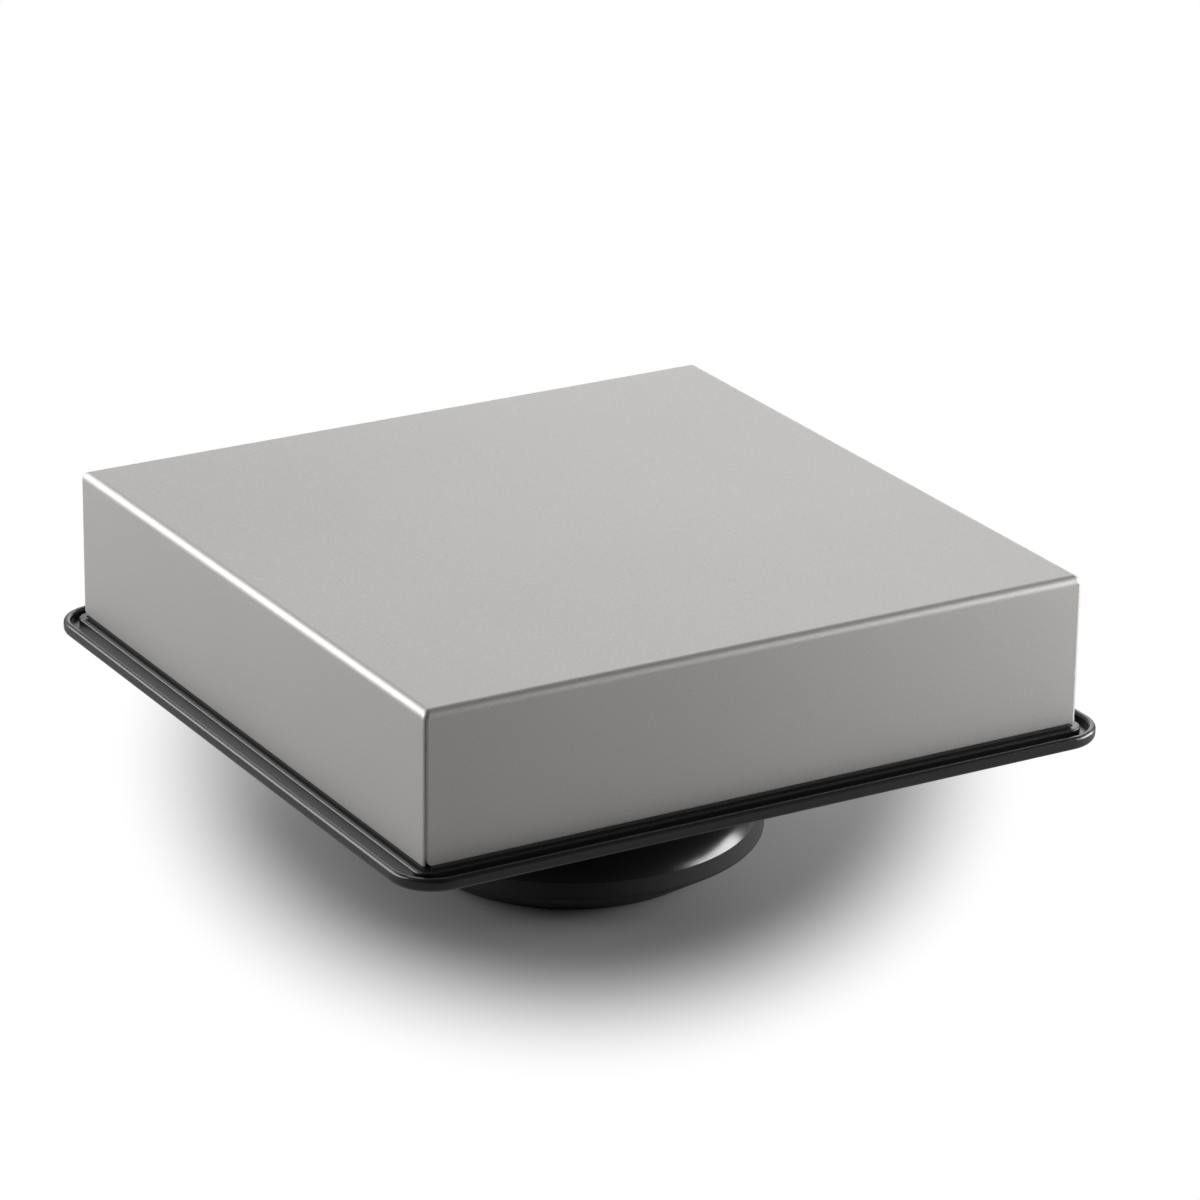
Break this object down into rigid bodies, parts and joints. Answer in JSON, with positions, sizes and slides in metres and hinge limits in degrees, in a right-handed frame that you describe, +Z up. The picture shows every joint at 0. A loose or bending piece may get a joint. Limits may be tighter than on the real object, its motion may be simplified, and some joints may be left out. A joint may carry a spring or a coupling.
{
  "type": "mesh wifi node",
  "caption": "Square mesh wifi node: a satin grey metal cover on a black rimmed tray, raised on a round black pedestal with a rubber base; sockets and a pair button at the rear.",
  "frame": {"origin": "middle of the footprint, on the surface the node stands on", "axes": "+Z up, -Y towards the front, +Y towards the sockets at the rear"},
  "size_m": [0.1396, 0.1396, 0.0633],
  "materials": {
    "cover_metal": "bead-blasted, satin silver-grey",
    "standoff_steel": "turned",
    "gasket_foam": "closed-cell foam, black",
    "screw_black": "black zinc",
    "screw_steel": "bright zinc",
    "tray_plastic": "black, fine texture, semi-gloss",
    "pedestal_plastic": "black, satin",
    "plate_steel": "zinc plated",
    "base_rubber": "black, matte",
    "port_plastic": "black, fine texture",
    "board_laminate": "green solder mask",
    "shield_plate": "tin plated",
    "insert_plastic": "black",
    "contact_gold": "gold plated",
    "socket_plastic": "black",
    "pin_metal": "nickel plated",
    "button_plastic": "grey, satin",
    "switch_plastic": "black",
    "lamp_lens": "milky",
    "pipe_clear": "clear, polished",
    "chip_black": "moulded, matte",
    "chip_lid": "satin",
    "thermal_pad": "soft, matte",
    "sink_metal": "extruded",
    "can_metal": "tin plated",
    "capacitor_can": "sleeve-less can",
    "coil_ferrite": "pressed powder",
    "riser_plastic": "black",
    "antenna_metal": "stamped strip",
    "lead_jacket": "black jacket"
  },
  "bodies": {
    "root": {"cover_shell": "cover_metal", "cover_standoffs": "standoff_steel", "cover_gasket": "gasket_foam", "cover_screws": "screw_black", "base_tray": "tray_plastic", "tray_screws": "screw_steel", "pedestal": "pedestal_plastic", "foot_plate": "plate_steel", "foot_screws": "screw_steel", "rubber_base": "base_rubber", "port_plate": "port_plastic", "port_board": "board_laminate", "port_screws": "screw_steel", "ethernet_shield": "shield_plate", "ethernet_insert": "insert_plastic", "ethernet_contacts": "contact_gold", "power_socket": "socket_plastic", "power_pin": "pin_metal", "pair_switch": "switch_plastic", "status_led": "lamp_lens", "light_pipe": "pipe_clear", "riser_sockets": "riser_plastic", "riser_pins": "contact_gold", "riser_spacer": "riser_plastic", "main_board": "board_laminate", "board_screws": "screw_steel", "processor": "chip_lid", "memory_chips": "chip_black", "radio_can_left": "can_metal", "radio_can_right": "can_metal", "radio_chips": "chip_black", "thermal_pads": "thermal_pad", "heat_sink": "sink_metal", "sink_screws": "screw_steel", "capacitors": "capacitor_can", "inductors": "coil_ferrite", "reset_switch": "switch_plastic", "antenna_plugs": "contact_gold", "antenna_front": "antenna_metal", "antenna_lead_front": "lead_jacket", "antenna_right": "antenna_metal", "antenna_lead_right": "lead_jacket", "antenna_back": "antenna_metal", "antenna_lead_back": "lead_jacket", "antenna_left": "antenna_metal", "antenna_lead_left": "lead_jacket"},
    "pair_button": {"pair_button": "button_plastic", "pair_plunger": "switch_plastic"},
    "reset_plunger": {"reset_plunger": "button_plastic"}
  },
  "joints": [
    {"name": "pair_button_press", "type": "slide", "parent": "root", "child": "pair_button", "axis": [0, -1, 0], "range_m": [0, 0.0003], "stiffness_N_per_m": 4000},
    {"name": "reset_press", "type": "slide", "parent": "root", "child": "reset_plunger", "axis": [0, 0, 1], "range_m": [0, 0.0003], "stiffness_N_per_m": 4000}
  ]
}
